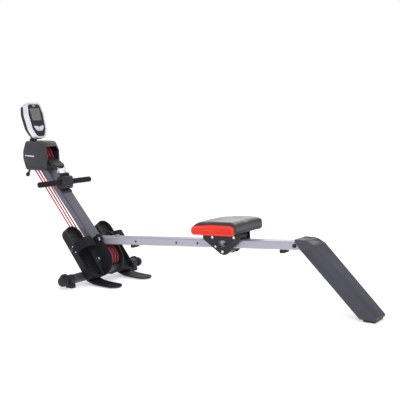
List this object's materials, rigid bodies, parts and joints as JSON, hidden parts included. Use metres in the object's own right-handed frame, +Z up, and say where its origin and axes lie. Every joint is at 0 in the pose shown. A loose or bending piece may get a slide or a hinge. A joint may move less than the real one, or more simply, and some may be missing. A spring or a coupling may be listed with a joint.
{
  "type": "rowing machine",
  "caption": "Folding home rowing machine pulled on elastic cords: sloping seat rail, angled rear leg, leaning post with guide housing and tilting console, foot pedals with straps.",
  "frame": {"origin": "centre of the machine's bounding box on the floor plane", "axes": "+X rearward towards the rear leg, +Y to the seated user's right, +Z up"},
  "size_m": [2.1516, 0.661, 0.955],
  "materials": {
    "pewter_paint": "satin pewter paint",
    "silver_paint": "satin silver paint",
    "grey_paint": "satin dark grey paint",
    "dark_paint": "satin charcoal paint",
    "black_plastic": "fine-grained",
    "grey_plastic": "fine-grained",
    "silver_plastic": "silver lacquer",
    "red_plastic": "gloss",
    "red_cord": "braided sheath",
    "black_webbing": "woven",
    "black_foam": "foam",
    "black_leather": "grained",
    "black_rubber": "matt",
    "bright_steel": "bright plated",
    "display_glass": "clear"
  },
  "bodies": {
    "base": {"stabilizer_tube_left": "grey_paint", "stabilizer_tube_right": "grey_paint", "stabilizer_cap_left": "black_plastic", "stabilizer_cap_right": "black_plastic", "front_foot_left": "black_rubber", "front_foot_right": "black_rubber", "base_bracket": "grey_paint", "main_post": "pewter_paint", "drum_axle": "bright_steel", "rail_pivot_pin": "bright_steel", "pedal_axle": "bright_steel", "housing_left": "grey_plastic", "housing_right": "grey_plastic", "roller_axle": "bright_steel", "hook_peg": "black_plastic", "console_neck": "black_plastic", "handle_cradle": "black_plastic", "cord_1": "red_cord", "cord_2": "red_cord", "cord_3": "red_cord", "cord_4": "red_cord"},
    "wheel_left": {"transport_wheel_left": "black_rubber"},
    "wheel_right": {"transport_wheel_right": "black_rubber"},
    "drum": {"lower_drum": "black_plastic"},
    "guide_roller": {"upper_roller": "black_plastic"},
    "console": {"console_back": "grey_plastic", "console_bezel": "silver_plastic", "console_face": "grey_plastic", "lcd_window": "display_glass"},
    "key_left": {"button_left": "silver_plastic"},
    "key_right": {"button_right": "silver_plastic"},
    "handle": {"handle_bar": "bright_steel", "grip_left": "black_foam", "grip_right": "black_foam", "handle_holder": "black_plastic", "pull_strap": "black_webbing", "cord_yoke": "black_plastic", "snap_hook_left": "bright_steel", "snap_hook_right": "bright_steel"},
    "foot_left": {"pedal_left": "black_plastic", "pedal_strap_left": "black_webbing"},
    "foot_right": {"pedal_right": "black_plastic", "pedal_strap_right": "black_webbing"},
    "rail_assembly": {"rail": "silver_paint", "rail_stop_front": "black_rubber", "rail_stop_rear": "black_rubber", "rail_end_bolt_left": "black_plastic", "rail_end_bolt_right": "black_plastic", "rear_leg": "dark_paint", "rear_foot": "black_rubber"},
    "seat": {"seat_cushion": "black_leather", "seat_trim_left": "red_plastic", "seat_trim_right": "red_plastic", "seat_carriage": "grey_paint", "roller_axle_front": "bright_steel", "roller_axle_rear": "bright_steel", "roller_axle_lower": "bright_steel"},
    "spool_front": {"seat_roller_front": "black_plastic"},
    "spool_rear": {"seat_roller_rear": "black_plastic"},
    "spool_lower": {"seat_roller_lower": "black_plastic"}
  },
  "joints": [
    {"name": "wheel_spin_left", "type": "hinge", "parent": "base", "child": "wheel_left", "pos_m": [-0.52419, -0.2915, 0.046], "axis": [0, 1, 0], "continuous": true},
    {"name": "wheel_spin_right", "type": "hinge", "parent": "base", "child": "wheel_right", "pos_m": [-0.52419, 0.2915, 0.046], "axis": [0, 1, 0], "continuous": true},
    {"name": "lower_drum_spin", "type": "hinge", "parent": "base", "child": "drum", "pos_m": [-0.50119, 0, 0.118], "axis": [0, 1, 0], "continuous": true},
    {"name": "upper_roller_spin", "type": "hinge", "parent": "base", "child": "guide_roller", "pos_m": [-0.96019, 0, 0.655], "axis": [0, 1, 0], "continuous": true},
    {"name": "console_tilt", "type": "hinge", "parent": "base", "child": "console", "pos_m": [-1.01319, 0, 0.7624], "axis": [0, 1, 0], "range_deg": [-12, 12]},
    {"name": "button_press_left", "type": "slide", "parent": "console", "child": "key_left", "axis": [-0.9563, 0, -0.2924], "range_m": [0, 0.0015], "stiffness_N_per_m": 400, "springref_m": -0.001},
    {"name": "button_press_right", "type": "slide", "parent": "console", "child": "key_right", "axis": [-0.9563, 0, -0.2924], "range_m": [0, 0.0015], "stiffness_N_per_m": 400, "springref_m": -0.001},
    {"name": "handle_pull", "type": "slide", "parent": "base", "child": "handle", "axis": [0.996, 0, 0.0896], "range_m": [0, 0.9], "stiffness_N_per_m": 80, "springref_m": -0.25, "deforming": ["cord_1", "cord_2", "cord_3", "cord_4"]},
    {"name": "pedal_pivot_left", "type": "hinge", "parent": "base", "child": "foot_left", "pos_m": [-0.56819, -0.129, 0.18], "axis": [0, 1, 0], "range_deg": [-25, 0]},
    {"name": "pedal_pivot_right", "type": "hinge", "parent": "base", "child": "foot_right", "pos_m": [-0.56819, 0.129, 0.18], "axis": [0, 1, 0], "range_deg": [-25, 0]},
    {"name": "rail_fold", "type": "hinge", "parent": "base", "child": "rail_assembly", "pos_m": [-0.49719, 0, 0.2265], "axis": [0, 1, 0], "range_deg": [-80, 0]},
    {"name": "seat_slide", "type": "slide", "parent": "rail_assembly", "child": "seat", "axis": [0.9973, 0, 0.0738], "range_m": [-0.54, 0.27]},
    {"name": "seat_roller_front_spin", "type": "hinge", "parent": "seat", "child": "spool_front", "pos_m": [0.23068, 0, 0.30579], "axis": [0, 1, 0], "continuous": true},
    {"name": "seat_roller_rear_spin", "type": "hinge", "parent": "seat", "child": "spool_rear", "pos_m": [0.35268, 0, 0.31482], "axis": [0, 1, 0], "continuous": true},
    {"name": "seat_roller_lower_spin", "type": "hinge", "parent": "seat", "child": "spool_lower", "pos_m": [0.28889, 0, 0.2393], "axis": [0, 1, 0], "continuous": true}
  ],
  "couplings": [
    {"joint": "seat_roller_front_spin", "follows": "seat_slide", "rad_per_m": 66.67},
    {"joint": "seat_roller_rear_spin", "follows": "seat_slide", "rad_per_m": 66.67},
    {"joint": "seat_roller_lower_spin", "follows": "seat_slide", "rad_per_m": -66.67},
    {"joint": "upper_roller_spin", "follows": "handle_pull", "rad_per_m": 13.8},
    {"joint": "lower_drum_spin", "follows": "handle_pull", "rad_per_m": 4.41}
  ]
}
